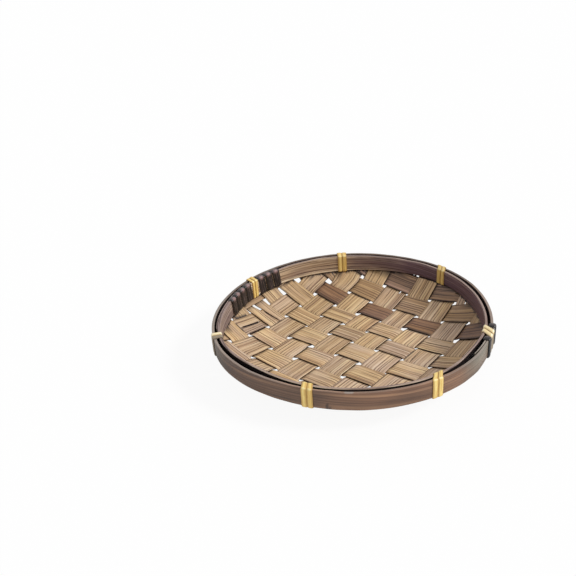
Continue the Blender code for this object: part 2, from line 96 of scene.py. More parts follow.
# The bowl is flat in the middle and curves up to the hoops' bottom edges. Towards the back right the hoops are split
# narrower and the weave sits higher: by how much, at which azimuth, and how far to each side.
STRIP_THICKNESS = 0.00065
WEAVE_LIFT = 0.0005
BASE_MIDDLE = WEAVE_LIFT + STRIP_THICKNESS / 2
BOWL_DEPTH = 0.02
BASE_FLAT_RADIUS = 0.045
BOWL_CURVE_POWER = 2.9
SEAT_CLEARANCE = 0.0003
BOWL_REACH = RIM_RADIUS - OUTER_HOOP_WALL - TIED_GAP - BASE_FLAT_RADIUS
HALF_WEAVE = BASE_MIDDLE * hypot(1.0, BOWL_DEPTH * BOWL_CURVE_POWER / BOWL_REACH)
BOWL_RISE = BOWL_DEPTH - HALF_WEAVE - SEAT_CLEARANCE
HOOP_BOTTOM = BASE_MIDDLE + BOWL_DEPTH
NARROWED, NARROWED_CENTRE, NARROWED_REACH = 0.0024, 48.0, 60.0
NARROWED_CURVE_POWER = 1.6
SLOPE_STEP = 0.0005


def hoop_bottom(azimuth):
    return HOOP_BOTTOM + NARROWED * fade_out(abs(angle_from(degrees(azimuth), NARROWED_CENTRE)), NARROWED_REACH)


def bowl_height(x, y):
    azimuth = atan2(y, x)
    along = (hypot(x, y) - BASE_FLAT_RADIUS) / (inner_hoop_seat(azimuth) - BASE_FLAT_RADIUS)
    height = BASE_MIDDLE
    if along > 0.0:
        narrowed = hoop_bottom(azimuth) - HOOP_BOTTOM
        for rise, power in ((BOWL_RISE, BOWL_CURVE_POWER), (narrowed, NARROWED_CURVE_POWER)):
            height += rise * (along ** power if along <= 1.0 else 1.0 + power * (along - 1.0))
    return height


def bowl_point(x, y, lift):
    """A point off the bowl's middle surface, square to it."""
    slope_x = (bowl_height(x + SLOPE_STEP, y) - bowl_height(x - SLOPE_STEP, y)) / (2 * SLOPE_STEP)
    slope_y = (bowl_height(x, y + SLOPE_STEP) - bowl_height(x, y - SLOPE_STEP)) / (2 * SLOPE_STEP)
    normal = Vector((-slope_x, -slope_y, 1.0)).normalized()
    return RIM_CENTRE + Vector((x, y, bowl_height(x, y))) + normal * lift


# The strips are cut off between the hoops, further in beside the loose lap, and under the inner hoop where the cane
# of a tie, or of the bindings by the back-left tie, passes: a notch from and to a distance along the rim.
# At the back the weave has slipped forward from under the hoops: where, how far round that shows, and by how much.
CUT_INSIDE_RIM = 0.0004
CUT_BY_LAP, LAP_START, LAP_END = 0.0014, -38.0, -10.0
CUT_BY_CANE = 0.0006
TIE_NOTCH = (-0.004, 0.004)
BINDING_NOTCH = (-0.035, 0.045)
SLIPPED_PLACE, SLIPPED_REACH, SLIPPED_BY = Vector((-0.007, 0.107)), Vector((0.045, 0.016)), 0.0034


def slipped(point):
    away = hypot(*((point[k] - SLIPPED_PLACE[k]) / SLIPPED_REACH[k] for k in range(2)))
    return point - Vector((0.0, SLIPPED_BY)) * fade_out(away, 1.0)


def weave_edge(azimuth):
    """Radius where the strips end, before they slip."""
    seat = inner_hoop_seat(azimuth)
    rim_point = Vector((cos(azimuth), sin(azimuth))) * seat
    slip = (rim_point - slipped(rim_point)).length
    for tie_azimuth in TIE_AZIMUTHS:
        start, end = BINDING_NOTCH if tie_azimuth == TIE_AZIMUTHS[-1] else TIE_NOTCH
        if start < radians(angle_from(degrees(azimuth), tie_azimuth)) * RIM_RADIUS < end:
            return seat - CUT_BY_CANE + slip
    by_lap = LAP_START < degrees(azimuth) < LAP_END
    return outer_hoop_seat(azimuth) - (CUT_BY_LAP if by_lap else CUT_INSIDE_RIM)


# The strips run in two directions. Each row of holes between two strips has its place as a share of the rim's radius
# and its width as a share of an ordinary hole.
ALONG_WARP, ALONG_WEFT = (Vector((cos(way), sin(way))) for way in (radians(-35.2), radians(-127.7)))
WEAVE_MIDDLE = Vector((-0.0125, 0.064)) * RIM_RADIUS
WEAVE_HOLE = 0.0037
WEFT_LINE_SHARES = (
    (-1.270, 1.0), (-1.053, 1.0), (-0.834, 1.85), (-0.644, 0.85), (-0.438, 0.85), (-0.219, 1.0), (0.0, 0.8),
    (0.212, 1.05), (0.439, 0.7), (0.664, 0.8), (0.873, 0.8), (1.090, 1.0), (1.310, 1.0))
WARP_LINE_SHARES = (
    (-1.106, 1.0), (-0.914, 0.6), (-0.745, 0.75), (-0.556, 0.85), (-0.366, 1.0), (-0.180, 0.65), (0.0, 0.85),
    (0.211, 0.95), (0.411, 1.0), (0.611, 0.9), (0.801, 0.8), (0.990, 1.0), (1.183, 1.0))
WEFT_ROWS, WARP_ROWS = (
    [(place * RIM_RADIUS, hole * WEAVE_HOLE / 2) for place, hole in shares]
    for shares in (WEFT_LINE_SHARES, WARP_LINE_SHARES))
ROLL_OVER = 0.0012


def plan_point(u, v):
    return WEAVE_MIDDLE + ALONG_WARP * u + ALONG_WEFT * v


def over_under(place, crossings, first_side):
    """+1 where a strip lies over and -1 where it lies under, rolled over across each row of holes."""
    side = first_side
    for middle, half in crossings:
        reach = half + ROLL_OVER
        if place <= middle - reach:
            return side
        if place < middle + reach:
            share = (place - middle + reach) / (2 * reach)
            return side * (1.0 - 2.0 * share * share * (3.0 - 2.0 * share))
        side = -side
    return side


# How much further open a hole is on each side than its row, by its weft row and warp row.
HOLE_TRIMS = {
    (2, 4): 0.0012, (2, 5): 0.0006, (2, 7): -0.0012, (3, 3): 0.0011, (4, 6): -0.0005, (4, 7): 0.0003,
    (5, 4): 0.0003, (5, 5): 0.0004, (5, 7): 0.0006, (5, 8): 0.0003, (6, 2): -0.0005, (6, 4): -0.0005,
    (7, 2): -0.0003, (7, 4): 0.0006, (7, 7): 0.0003, (8, 2): 0.0003, (8, 4): -0.0005, (8, 7): -0.0007,
    (9, 4): 0.0007}
TRIM_REACH = 0.009


def hole_trim(place, row, crossings, is_warp):
    """How far an edge of a strip is drawn back at a place by the holes along it."""
    trim = 0.0
    for crossing, (middle, _) in enumerate(crossings):
        away = abs(place - middle)
        if away < TRIM_REACH:
            trim += HOLE_TRIMS.get((crossing, row) if is_warp else (row, crossing), 0.0) * fade_out(away, TRIM_REACH)
    return trim


SEARCH_REACH = 1.4 * RIM_RADIUS
SEARCH_STEPS = 90
SEARCH_HALVINGS = 12


def strip_ends(point_at, across):
    """The first and last place along one lane of a strip that lie inside the rim, or None."""
    def inside(along):
        point = point_at(along, across)
        return point.length < weave_edge(atan2(point.y, point.x))

    places = [SEARCH_REACH * (k / SEARCH_STEPS - 1.0) for k in range(2 * SEARCH_STEPS + 1)]
    within = [k for k, place in enumerate(places) if inside(place)]
    if not within:
        return None
    ends = []
    for k, outward in ((within[0], -1), (within[-1], 1)):
        held, lost = places[k], places[k + outward]
        for _ in range(SEARCH_HALVINGS):
            middle = (held + lost) / 2
            if inside(middle):
                held = middle
            else:
                lost = middle
        ends.append(held)
    return ends


# Cracks, each as points of (place along the strip, share of its width, how far it has opened).
CRACKS = {
    "warp_strip_01": [((0.047, 0.55, 0.0), (0.05, 0.55, 0.0012), (0.056, 0.55, 0.0012), (0.059, 0.55, 0.0))],
    "warp_strip_04": [((0.053, 0.43, 0.0), (0.058, 0.43, 0.0007), (0.072, 0.4, 0.0005), (0.081, 0.39, 0.0))],
    "warp_strip_06": [((-0.107, 0.6, 0.0), (-0.104, 0.58, 0.0034), (-0.096, 0.49, 0.0032),
                       (-0.094, 0.46, 0.002), (-0.08, 0.39, 0.0014), (-0.076, 0.37, 0.0))],
    "weft_strip_02": [((0.026, 0.57, 0.0), (0.03, 0.57, 0.002), (0.046, 0.51, 0.0016), (0.0495, 0.5, 0.0))],
    "weft_strip_05": [((-0.093, 0.71, 0.0), (-0.0915, 0.71, 0.0013), (-0.0885, 0.71, 0.0013), (-0.087, 0.71, 0.0)),
                      ((-0.116, 0.62, 0.0), (-0.112, 0.62, 0.0012), (-0.108, 0.62, 0.001), (-0.105, 0.62, 0.0)),
                      ((-0.115, 0.88, 0.0), (-0.111, 0.88, 0.0009), (-0.108, 0.88, 0.0009), (-0.104, 0.88, 0.0))],
    "weft_strip_08": [((-0.0935, 0.38, 0.0), (-0.0905, 0.38, 0.0011), (-0.088, 0.38, 0.0011), (-0.085, 0.38, 0.0)),
                      ((-0.02, 0.19, 0.0), (-0.016, 0.2, 0.0005), (-0.004, 0.23, 0.0005), (-0.001, 0.24, 0.0))]}


def crack_at(along, crack):
    """Share of the width where a crack runs at a place, and how far it is open there."""
    if along <= crack[0][0]:
        return crack[0][1], 0.0
    for (start, share, gap), (end, next_share, next_gap) in zip(crack[:-1], crack[1:]):
        if along <= end:
            part = (along - start) / (end - start)
            return share + (next_share - share) * part, gap + (next_gap - gap) * part
    return crack[-1][1], 0.0


def share_beside(along, share, cracks):
    """Shift a lane sideways so that it keeps its place beside a crack that runs at a slant."""
    for crack in cracks:
        first = crack[0][1]
        moved = crack_at(along, crack)[0] - first
        share += moved * (share / first if share <= first else (1.0 - share) / (1.0 - first))
    return share


# Painted shade darkens each corner where a strip comes out from under another, and the strips beneath cracks and under
# the hoops. The spots of painted shade are beneath cracks: along the warp, along the weft, and how far each reaches.
CORNER_BEFORE = 0.003
WARP_CORNER, WEFT_CORNER = 0.0017, 0.0024
UNDER_HOOP = 0.0015
SHADED_SPOTS = ((-0.087, 0.038, 0.013), (-0.086, 0.0105, 0.01), (0.066, -0.034, 0.014), (0.0595, -0.01, 0.01))
# How much of the width of a dark strip carries a band of painted shade, along the edge that faces front left.
FRONT_LEFT_SHADE_SHARES = {"warp_strip_01": 0.08, "warp_strip_03": 0.13}
FRONT_LEFT_SHADE_CRISPNESS = 1.6
PATCHES_PER_METRE = 120.0


def corner_shade(place, crossings, first_side, reach):
    side = first_side
    for middle, half in crossings:
        if side < 0.0 and middle - half - CORNER_BEFORE < place < middle - half + reach:
            return max(0.0, min(1.0, 1.0 - (place - middle + half) / reach))
        side = -side
    return 0.0


# Each float has its own lightness and warmth. Painted shade darkens the strips by the rim on the right, with its middle
# and reach, and the strips grow darker and warmer towards the back left.
SHADED_SIDE, SHADED_REACH, SHADED_SHARE = Vector((0.11, 0.018)), 0.038, 0.7
BACK_LEFT_WAY, BACK_LEFT_SHARE = Vector((-0.65, 0.80)), 0.35


def float_tone_and_shade(span, number, point):
    """How light and how warm the bamboo is at a point of one float, with the painted shade by the right rim."""
    light = 0.62 + 0.45 * noise.noise(Vector((span * 7.7, number * 3.1, 2.3)))
    warm = 0.50 + 0.90 * noise.noise(Vector((span * 5.3, number * 6.1, 8.3)))
    light, warm = max(0.0, min(1.0, light)), max(0.0, min(1.0, warm))
    light -= SHADED_SHARE * max(0.0, 1.0 - (point - SHADED_SIDE).length / SHADED_REACH)
    towards_back_left = max(0.0, point.dot(BACK_LEFT_WAY) / RIM_RADIUS)
    return max(0.0, light - BACK_LEFT_SHARE * towards_back_left), min(1.0, warm + BACK_LEFT_SHARE * towards_back_left)


# A strip is laid out in lanes along it and stations across it, which crowd round the edges of the strips that it
# crosses. Where it lies over, its edges curl up and it tilts. Its number sets its noise apart from the others'.
STRIP_LANES = 13
LANE_FROM_CRACK = 0.03
STATION_OFFSETS = (-0.001, 0.0, 0.0004, 0.0008, 0.0013, 0.002, 0.0032, 0.005)
EDGE_WANDER, WANDERS_PER_METRE = 0.00035, 60.0
CUP = 0.00015
TILT = 0.0002


def strip_shape(node, number, row, is_warp):
    """One strip's middle surface, cut to the rim, with its cracks left open."""
    own_rows, crossings = (WARP_ROWS, WEFT_ROWS) if is_warp else (WEFT_ROWS, WARP_ROWS)
    first_side = 1.0 if is_warp == bool(row % 2) else -1.0
    cracks = CRACKS.get(node, ())
    front_left_shade = FRONT_LEFT_SHADE_SHARES.get(node, 0.0)
    low, high = own_rows[row][0] + own_rows[row][1], own_rows[row + 1][0] - own_rows[row + 1][1]

    def point_at(along, across):
        return plan_point(along, across) if is_warp else plan_point(across, along)

    shares = [k / (STRIP_LANES - 1) for k in range(STRIP_LANES)]
    lanes = [(share, None, 0) for share in shares
             if all(abs(share - crack[0][1]) > LANE_FROM_CRACK for crack in cracks)]
    lanes += [(crack[0][1], crack, bank) for crack in cracks for bank in (-1, 1)]
    lanes.sort(key=lambda lane: (lane[0], lane[2]))
    ends = [strip_ends(point_at, low * (1.0 - share) + high * share) for share, _, _ in lanes]
    stations = {point[0] for crack in cracks for point in crack}
    for middle, half in crossings:
        stations.add(middle)
        for offset in STATION_OFFSETS:
            stations.update((middle - half - offset, middle + half + offset))
    stations = sorted(stations)
    bm = bmesh.new()
    grain_layer = bm.verts.layers.float_vector.new("grain")
    tone_and_shade_layer = bm.verts.layers.float_vector.new("tone_and_shade")
    made = {}

    # Painted shade: in the corners where the strip comes out from under another, under the hoops, beneath cracks, and
    # along the front-left edge of a dark strip.
    def painted_shade_at(along, across, placed, side, point, span):
        patchy = 0.75 + 0.6 * noise.noise(Vector((across * PATCHES_PER_METRE, span * 3.7, number)))
        painted_shade = corner_shade(along, crossings, first_side, WARP_CORNER if is_warp else WEFT_CORNER) * patchy
        if point.length > inner_hoop_seat(atan2(point.y, point.x)) - UNDER_HOOP:
            painted_shade = 1.0
        u, v = (along, across) if is_warp else (across, along)
        if side < 0.0 and any(hypot(u - spot_u, v - spot_v) < reach for spot_u, spot_v, reach in SHADED_SPOTS):
            painted_shade = 1.0
        # A band of painted shade along the dark strip's front-left edge.
        if front_left_shade > 0.0:
            painted_shade = max(painted_shade, min(1.0, FRONT_LEFT_SHADE_CRISPNESS * (placed - 1.0 + front_left_shade) / front_left_shade) * patchy)
        return max(0.0, min(1.0, painted_shade))

    def vertex(k, lane):
        share, crack, bank = lanes[lane]
        start, end = ends[lane]
        along = min(max(stations[k], start), end)
        gap = crack_at(along, crack)[1] if crack else 0.0
        key = (round(along, 6), lane if gap > 0.0 or bank < 1 else lane - 1)
        if key not in made:
            edge_low, edge_high = (
                edge + EDGE_WANDER * noise.noise(Vector((along * WANDERS_PER_METRE, number * 5.3, seed)))
                for edge, seed in ((low, 0.0), (high, 9.0)))
            edge_low += hole_trim(along, row, crossings, is_warp)
            edge_high -= hole_trim(along, row + 1, crossings, is_warp)
            placed = share_beside(along, share, cracks)
            across = edge_low * (1.0 - placed) + edge_high * placed + bank * gap / 2
            point = slipped(point_at(along, across))
            side = over_under(along, crossings, first_side)
            from_middle = 2.0 * placed - 1.0
            lift = side * WEAVE_LIFT + max(0.0, side) * (CUP * from_middle ** 2 + TILT * from_middle)
            span = sum(1 for middle, _ in crossings if along > middle)
            vert = made[key] = bm.verts.new(bowl_point(point.x, point.y, lift))
            vert[grain_layer] = (along, across, number)
            vert[tone_and_shade_layer] = (*float_tone_and_shade(span, number, point), painted_shade_at(along, across, placed, side, point, span))
        return made[key]

    for lane in range(len(lanes) - 1):
        if ends[lane] is None or ends[lane + 1] is None:
            continue
        if lanes[lane][1] is not None and lanes[lane][1] is lanes[lane + 1][1]:
            continue
        for k in range(len(stations) - 1):
            corners = dict.fromkeys(
                (vertex(k, lane), vertex(k + 1, lane), vertex(k + 1, lane + 1), vertex(k, lane + 1)))
            if len(corners) > 2:
                bm.faces.new(list(corners))
    bmesh.ops.recalc_face_normals(bm, faces=bm.faces[:])
    if sum(face.normal.z for face in bm.faces) < 0.0:
        bmesh.ops.reverse_faces(bm, faces=bm.faces[:])
    loose = [vert for vert in bm.verts if not vert.link_faces]
    bmesh.ops.delete(bm, geom=loose, context="VERTS")
    return bm


def paint(red, green, blue):
    """A colour as it shows on screen, from 0 to 255, in the linear form that a shader takes."""
    return (*[((value / 255 + 0.055) / 1.055) ** 2.4 for value in (red, green, blue)], 1.0)


def add_node(tree, kind, inputs=(), **settings):
    """A shader node with its settings, and each input set to a value or linked from a socket."""
    made = tree.nodes.new(kind)
    for name, value in settings.items():
        setattr(made, name, value)
    for socket, value in dict(inputs).items():
        if isinstance(value, bpy.types.NodeSocket):
            tree.links.new(value, made.inputs[socket])
        else:
            made.inputs[socket].default_value = value
    return made


def mix_colour(tree, factor, first, second, blend="MIX"):
    """The colour socket of a mix of two colours, each a value or a socket."""
    return add_node(tree, "ShaderNodeMix", {0: factor, 6: first, 7: second},
                    data_type="RGBA", blend_type=blend).outputs[2]


def scaled(tree, vector, scale):
    return add_node(tree, "ShaderNodeVectorMath", {0: vector, 1: scale}, operation="MULTIPLY").outputs[0]


def ramped(tree, value, low, high, start=0.0, end=1.0):
    return add_node(tree, "ShaderNodeMapRange", {
        "Value": value, "From Min": low, "From Max": high, "To Min": start, "To Max": end}).outputs[0]


def maths(tree, operation, *values):
    return add_node(tree, "ShaderNodeMath", dict(enumerate(values)), operation=operation).outputs[0]


def clouds(tree, vector, scale, detail, roughness=0.5):
    return add_node(tree, "ShaderNodeTexNoise", {
        "Vector": scaled(tree, vector, scale), "Scale": 1.0, "Detail": detail, "Roughness": roughness}).outputs["Fac"]


def fibre_group():
    """Long fibres of split bamboo or cane: light and dark bands between thin dark lines, all along the grain."""
    group = bpy.data.node_groups.new("long_fibres", "ShaderNodeTree")
    group.interface.new_socket("Grain", in_out="INPUT", socket_type="NodeSocketVector")
    for label in ("Bands per Metre", "Run per Metre", "Line Width"):
        group.interface.new_socket(label, in_out="INPUT", socket_type="NodeSocketFloat")
    for label in ("Bands", "Lines", "Fibres", "Drift", "Height"):
        group.interface.new_socket(label, in_out="OUTPUT", socket_type="NodeSocketFloat")
    given, out = add_node(group, "NodeGroupInput").outputs, add_node(group, "NodeGroupOutput")
    split = add_node(group, "ShaderNodeSeparateXYZ", {"Vector": given["Grain"]}).outputs
    scale = add_node(group, "ShaderNodeCombineXYZ", {
        "X": given["Run per Metre"], "Y": given["Bands per Metre"], "Z": 3.7})
    stretched = scaled(group, given["Grain"], scale.outputs[0])

    # Cells across the grain, swaying a little along it, hold the bands. Other cells' edges are the lines.
    across = maths(group, "MULTIPLY_ADD", split["Y"], given["Bands per Metre"],
                   maths(group, "MULTIPLY", split["Z"], 13.7))
    swayed = maths(group, "MULTIPLY_ADD", clouds(group, stretched, (1.0, 0.05, 1.0), 1.0), 1.6, across)
    cell = add_node(group, "ShaderNodeTexVoronoi", {"W": swayed, "Scale": 1.0}, voronoi_dimensions="1D")
    shade = add_node(group, "ShaderNodeSeparateColor", {"Color": cell.outputs["Color"]})
    edge = add_node(group, "ShaderNodeTexVoronoi", {"W": swayed, "Scale": 0.6}, voronoi_dimensions="1D",
                    feature="DISTANCE_TO_EDGE").outputs["Distance"]
    fading = ramped(group, clouds(group, stretched, (7.0, 0.45, 1.3), 2.0), 0.38, 0.56)
    lines = maths(group, "MULTIPLY", ramped(group, edge, 0.0, given["Line Width"], 1.0, 0.0), fading)
    beside = ramped(group, maths(group, "ABSOLUTE", maths(group, "SUBTRACT", edge, 0.30)), 0.0, 0.14, 1.0, 0.0)

    # Softer shades, fine fibres, and a slow drift of colour that doesn't follow the bands.
    soft = ramped(group, clouds(group, stretched, (1.5, 0.8, 1.0), 2.0, 0.6), 0.35, 0.65)
    mixed = maths(group, "MULTIPLY_ADD", soft, 0.45, maths(group, "MULTIPLY", shade.outputs[0], 0.40))
    bands = maths(group, "MULTIPLY_ADD", beside, 0.12, mixed)
    fibres = clouds(group, stretched, (4.0, 2.2, 1.0), 2.0, 0.7)
    drift = ramped(group, clouds(group, given["Grain"], (22.0, 60.0, 1.9), 1.0), 0.35, 0.65)
    raised = maths(group, "MULTIPLY_ADD", fibres, 0.5, maths(group, "MULTIPLY", bands, 0.4))
    height = maths(group, "SUBTRACT", raised, lines)
    for label, socket in (("Bands", bands), ("Lines", lines), ("Fibres", fibres), ("Drift", drift), ("Height", height)):
        group.links.new(socket, out.inputs[label])
    return group


FIBRES = fibre_group()


def grained(name, bands, run, line_width):
    """A new material with the long fibres laid along its grain: its tree, its shader and the fibres' outputs."""
    material = bpy.data.materials.new(name)
    material.use_nodes = True
    tree = material.node_tree
    grain = add_node(tree, "ShaderNodeAttribute", attribute_name="grain").outputs["Vector"]
    fibres = add_node(tree, "ShaderNodeGroup", {
        "Grain": grain, "Bands per Metre": bands, "Run per Metre": run, "Line Width": line_width}, node_tree=FIBRES)
    return material, tree, tree.nodes["Principled BSDF"], fibres.outputs


def laid_on(tree, label):
    """The three values that a mesh carries under a label, as sockets X, Y and Z."""
    laid = add_node(tree, "ShaderNodeAttribute", attribute_name=label).outputs["Vector"]
    return add_node(tree, "ShaderNodeSeparateXYZ", {"Vector": laid}).outputs


def surface(tree, shader, colour, fibres, smooth, rough, depth):
    """Join the colour, the roughness of the fibres and their relief to the shader."""
    tree.links.new(colour, shader.inputs["Base Color"])
    tree.links.new(ramped(tree, fibres["Fibres"], 0.3, 0.7, smooth, rough), shader.inputs["Roughness"])
    bump = add_node(tree, "ShaderNodeBump", {"Strength": 0.6, "Distance": depth, "Height": fibres["Height"]})
    tree.links.new(bump.outputs[0], shader.inputs["Normal"])


# Tints by warmth, and by lightness, which carries each float's own tone and the painted shade by the right rim.
GREENISH_TO_WARM = (0.93, 0.96, 1.05, 1.0), (1.03, 1.0, 0.82, 1.0)
SHADY_TO_SUNNY = (0.66, 0.65, 0.64, 1.0), (1.12, 1.12, 1.12, 1.0)


def bamboo_material(name, bands, light, dark, line, line_share):
    """Split bamboo: bands and dark lines along the grain, tinted float by float, with painted shade where strips cross.
    """
    material, tree, shader, fibres = grained(name, bands, run=4.0, line_width=0.23)
    tone_and_shade = laid_on(tree, "tone_and_shade")
    banded = mix_colour(tree, fibres["Bands"], dark, light)
    warmth = maths(tree, "ADD", maths(tree, "MULTIPLY_ADD", fibres["Drift"], 0.8, -0.4), tone_and_shade["Y"])
    hue = mix_colour(tree, ramped(tree, warmth, 0.0, 1.0), *GREENISH_TO_WARM)
    tinted = mix_colour(tree, 1.0, banded, hue, "MULTIPLY")
    shaded = mix_colour(tree, 1.0, tinted, mix_colour(tree, tone_and_shade["X"], *SHADY_TO_SUNNY), "MULTIPLY")
    fine = mix_colour(tree, 0.55, shaded, fibres["Fibres"], "OVERLAY")
    lined = mix_colour(tree, maths(tree, "MULTIPLY", fibres["Lines"], line_share), fine, line)
    # Painted shade, dark brown: in the corners, under the hoops, beneath cracks and along the dark strips' front-left
    # edges.
    shade_painted = mix_colour(tree, tone_and_shade["Z"], lined, paint(38, 20, 16))
    surface(tree, shader, shade_painted, fibres, smooth=0.45, rough=0.65, depth=0.0003)
    return material


# Each bamboo's bands per metre, the colours of its light bands, dark bands and lines, and how strong its lines are.
TAN = bamboo_material("split_bamboo_tan", 560.0, paint(248, 218, 182), paint(172, 136, 104), paint(76, 42, 30), 1.0)
BROWN = bamboo_material("split_bamboo_brown", 600.0, paint(222, 186, 148), paint(134, 102, 78), paint(46, 28, 22), 1.0)
DARK = bamboo_material("split_bamboo_dark", 420.0, paint(178, 136, 104), paint(112, 80, 62), paint(42, 24, 22), 0.9)
SMOKED = bamboo_material("split_bamboo_smoked", 600.0, paint(192, 154, 130), paint(52, 36, 36), paint(20, 12, 14), 1.0)
# The strips' cut sides: dark with age, and painted darker still as the shade in the crevices between strips.
CUT_EDGE_AGED_AND_SHADED = bamboo_material("split_bamboo_cut_edge_aged_and_shaded", 430.0, paint(96, 68, 50), paint(58, 40, 32), paint(36, 24, 20), 0.8)
FINISHES = {
    "warp_strip_01": (SMOKED, "bamboo_grey_brown"), "warp_strip_02": (BROWN, "bamboo_brown"),
    "warp_strip_03": (DARK, "bamboo_dark"), "weft_strip_01": (BROWN, "bamboo_tan")}
SHARP_FROM = radians(40.0)


def new_piece(name, bm, *materials):
    mesh = bpy.data.meshes.new(name)
    bm.to_mesh(mesh)
    bm.free()
    for material in materials:
        mesh.materials.append(material)
    mesh.shade_smooth()
    mesh.set_sharp_from_angle(angle=SHARP_FROM)
    piece = bpy.data.objects.new(name, mesh)
    bpy.context.scene.collection.objects.link(piece)
    return piece


for way, is_warp, first_number in (("warp", True, 0), ("weft", False, 20)):
    for row in range(1, 11):
        node = f"{way}_strip_{row:02d}"
        material, slot = FINISHES.get(node, (TAN, "bamboo_tan"))
        piece = new_piece(f"{node}_split", strip_shape(node, first_number + row, row, is_warp), material, CUT_EDGE_AGED_AND_SHADED)
        solid = piece.modifiers.new("thickness", "SOLIDIFY")
        solid.thickness = STRIP_THICKNESS
        solid.offset = 0.0
        solid.material_offset_rim = 1
        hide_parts(node)
        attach(piece, "root")

# The two hoops
# Each is one flat strip of dark bamboo, steamed, bent into a ring and closed with a long tapered lap. The inner
# hoop presses the weave against the outer one. Their cut top edges are rubbed pale.
HOOP_HEIGHT = 0.0163
HOOP_TOP = HOOP_BOTTOM + HOOP_HEIGHT
INNER_HOOP_WALL = 0.0023
EDGE_ROUND = 0.0006
EDGE_STEPS = 3
FACE_STEPS = 5
HOOP_WANDER = 0.00022


def rounded_section(low, high, bottom, top):
    """Points round a hoop's section: radius, height, how far it faces up, and which face it is on."""
    radius = min(EDGE_ROUND, (high - low) * 0.45)
    straight = top - bottom - 2 * radius
    points = []
    for face, centre_r, centre_z, first in (
            (1, high - radius, bottom + radius, -90.0), (1, high - radius, top - radius, 0.0),
            (-1, low + radius, top - radius, 90.0), (-1, low + radius, bottom + radius, 180.0)):
        for k in range(EDGE_STEPS + 1):
            angle = radians(first + 90.0 / EDGE_STEPS * k)
            points.append((centre_r + radius * cos(angle), centre_z + radius * sin(angle), sin(angle), face))
        if first == -90.0:
            points += [(high, bottom + radius + straight * k / FACE_STEPS, 0.0, 1) for k in range(1, FACE_STEPS)]
        if first == 90.0:
            points += [(low, top - radius - straight * k / FACE_STEPS, 0.0, -1) for k in range(1, FACE_STEPS)]
    return points


def skin_over(bm, rings):
    """Close a shape over its rings of points, with a face across each end."""
    count = len(rings[0])
    for near_ring, far_ring in zip(rings[:-1], rings[1:]):
        for k in range(count):
            bm.faces.new((near_ring[k], far_ring[k], far_ring[(k + 1) % count], near_ring[(k + 1) % count]))
    bm.faces.new(rings[0])
    bm.faces.new(reversed(rings[-1]))
    bmesh.ops.recalc_face_normals(bm, faces=bm.faces[:])
    return bm


def bent_strip(number, rings, shaded_gap_face, weather_and_shade):
    """A flat strip bent round the rim, from its rings of (azimuth, how far along it is, low radius, high radius)."""
    bm = bmesh.new()
    grain_layer = bm.verts.layers.float_vector.new("grain")
    weather_and_shade_layer = bm.verts.layers.float_vector.new("weather_and_shade")
    made = []
    for azimuth, travelled, low, high in rings:
        turn = Vector((cos(azimuth), sin(azimuth), number))
        top = HOOP_TOP + HOOP_WANDER * noise.noise(turn * 9.0)
        bottom = hoop_bottom(azimuth) + HOOP_WANDER * noise.noise(turn * 8.0 + Vector((0.0, 0.0, 5.0)))
        bearing = degrees(azimuth) % 360.0
        ring = []
        for radius, height, facing, face in rounded_section(low, high, bottom, top):
            upward = max(0.0, facing)
            vert = bm.verts.new(RIM_CENTRE + Vector((radius * cos(azimuth), radius * sin(azimuth), height)))
            vert[grain_layer] = (travelled, height - HOOP_BOTTOM + radius, number)
            smoke_and_shade, faded, worn = weather_and_shade(bearing, (height - HOOP_BOTTOM) / HOOP_HEIGHT, upward)
            # Painted shade: the faces that look into the gap between the hoops are painted near black.
            gap_shade = 1.0 if face == shaded_gap_face and facing < 0.3 else 0.0
            vert[weather_and_shade_layer] = (smoke_and_shade, faded, upward * worn - gap_shade)
            ring.append(vert)
        made.append(ring)
    return skin_over(bm, made)


# Each hoop's ends taper to a thin tip and lie over each other. The outer hoop's inner end springs off its seat, and
# its wall is scraped a hair thinner than it was split.
LAP_TIP = 0.0007
LAP_CLEARANCE = 0.0003
LAP_SPRING = 0.001
LAP_RAMP_ANGLE = 6.0
# The middle and the width of each lap, in degrees.
OUTER_LAP, INNER_LAP = (-24.0, 24.0), (148.0, 36.0)
SCRAPED_OFF = 0.00004
HOOP_STATIONS = 420


def hoop_rings(seat, side, wall, lap_place, spring):
    """Rings of a hoop that lies on its seat face and whose tapered ends lie over each other."""
    middle, lap = (radians(bearing) for bearing in lap_place)
    start = middle - lap / 2
    total = 2 * pi + lap
    ramp = radians(LAP_RAMP_ANGLE)
    rings = []
    for station in range(HOOP_STATIONS + 1):
        travelled = total * station / HOOP_STATIONS
        azimuth = start + travelled
        thickness, inset = wall, 0.0
        if travelled < lap:
            thickness = LAP_TIP + (wall - LAP_TIP) * travelled / lap
            inset = -spring * max(0.0, 1.0 - 2 * travelled / lap) ** 2
        left = total - travelled
        if left < lap:
            grown = (wall - LAP_TIP) * (lap - left) / lap
            thickness = wall - grown
            inset = LAP_TIP + grown + LAP_CLEARANCE
        elif left < lap + ramp:
            inset = (LAP_TIP + LAP_CLEARANCE) * (1.0 - (left - lap) / ramp)
        near = seat(azimuth) + side * inset
        far = near + side * thickness
        rings.append((azimuth, RIM_RADIUS * travelled, min(near, far), max(near, far)))
    return rings


def between(bearing, start, end, fade):
    """1 inside a stretch of the rim, falling to 0 outside it."""
    middle, half = (start + end) / 2, (end - start) / 2
    return max(0.0, min(1.0, 1.0 - (abs(angle_from(bearing, middle)) - half) / fade))


